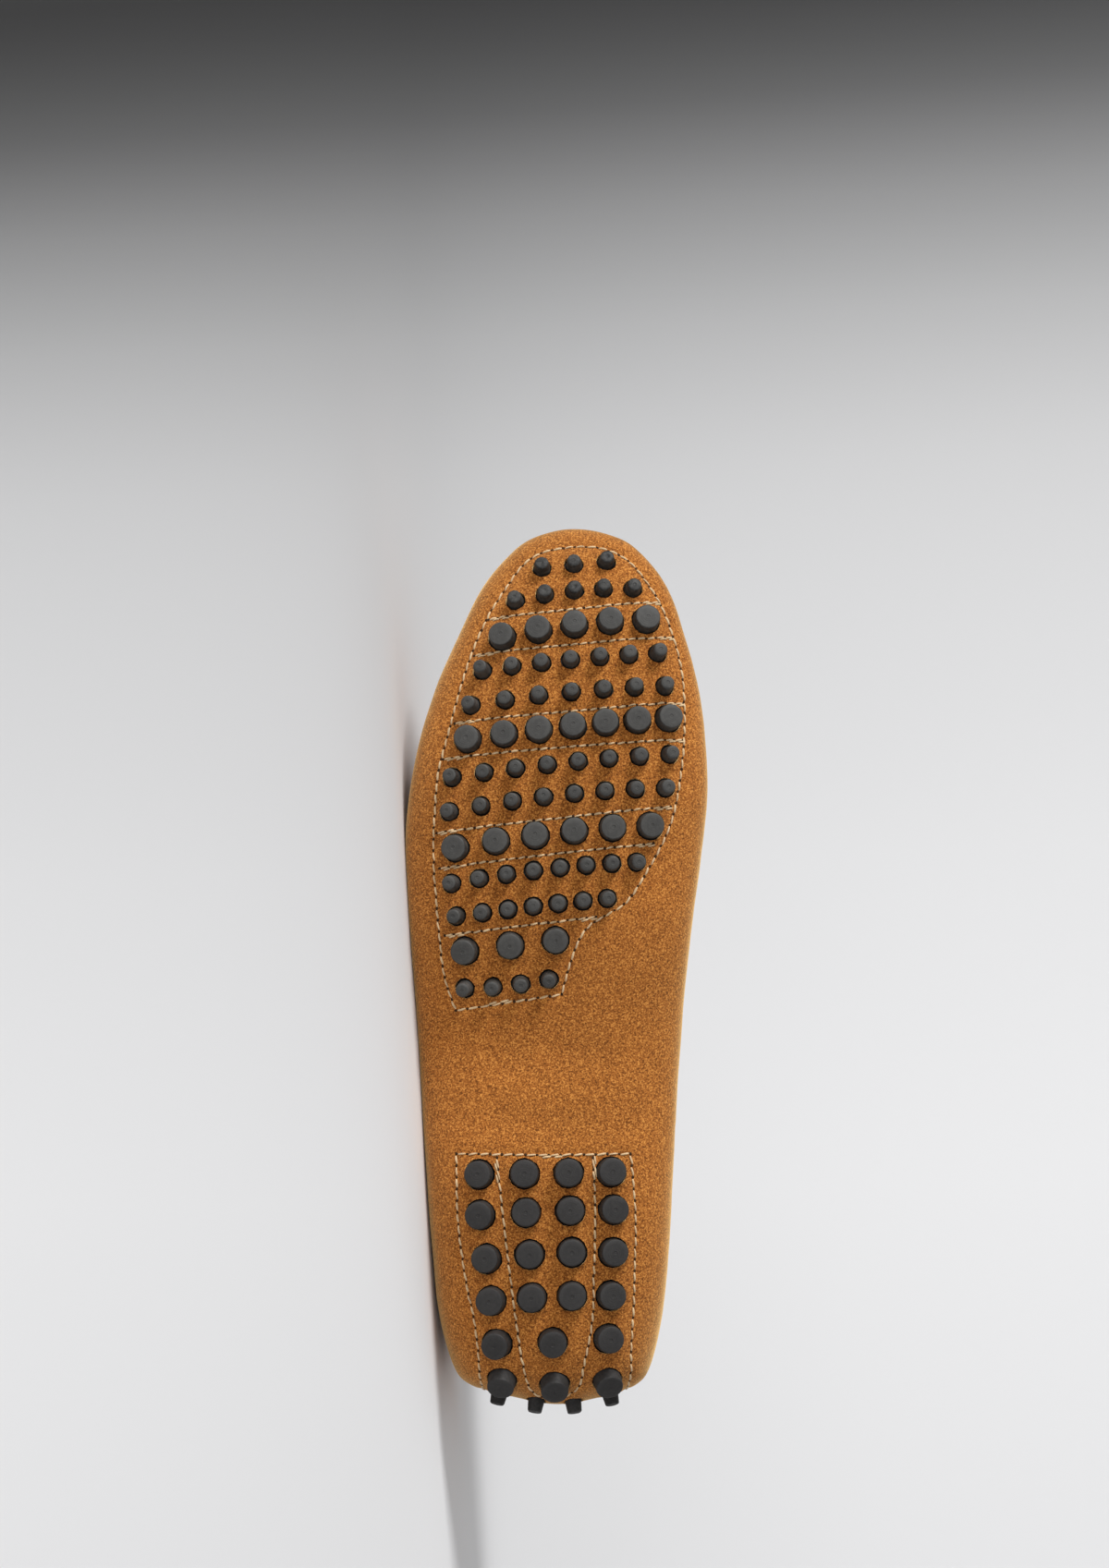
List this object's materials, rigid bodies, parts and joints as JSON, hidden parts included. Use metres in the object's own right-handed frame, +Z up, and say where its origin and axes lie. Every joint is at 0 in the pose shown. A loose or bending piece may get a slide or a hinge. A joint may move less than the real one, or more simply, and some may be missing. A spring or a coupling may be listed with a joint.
{
  "type": "driving moccasin",
  "caption": "Right driving moccasin in tan suede: hollow one-piece upper with rubber pegs through its bottom, raised toe seam, short tongue and insole, lying on its outer side.",
  "frame": {"origin": "on the floor, under the middle of the lying shoe's bounding box", "axes": "+X towards the heel, -X towards the toe, -Y where the sole faces, +Y where the collar opens, +Z up, towards the shoe's inner side"},
  "size_m": [0.2932, 0.0778, 0.1002],
  "materials": {
    "suede": "golden tan suede with a short nap",
    "rubber": "matte near-black moulded rubber",
    "insole_leather": "smooth tan leather"
  },
  "bodies": {
    "root": {"upper": "suede", "apron": "suede", "forefoot_pad": "rubber", "heel_pad": "rubber", "insole": "insole_leather"}
  },
  "joints": []
}
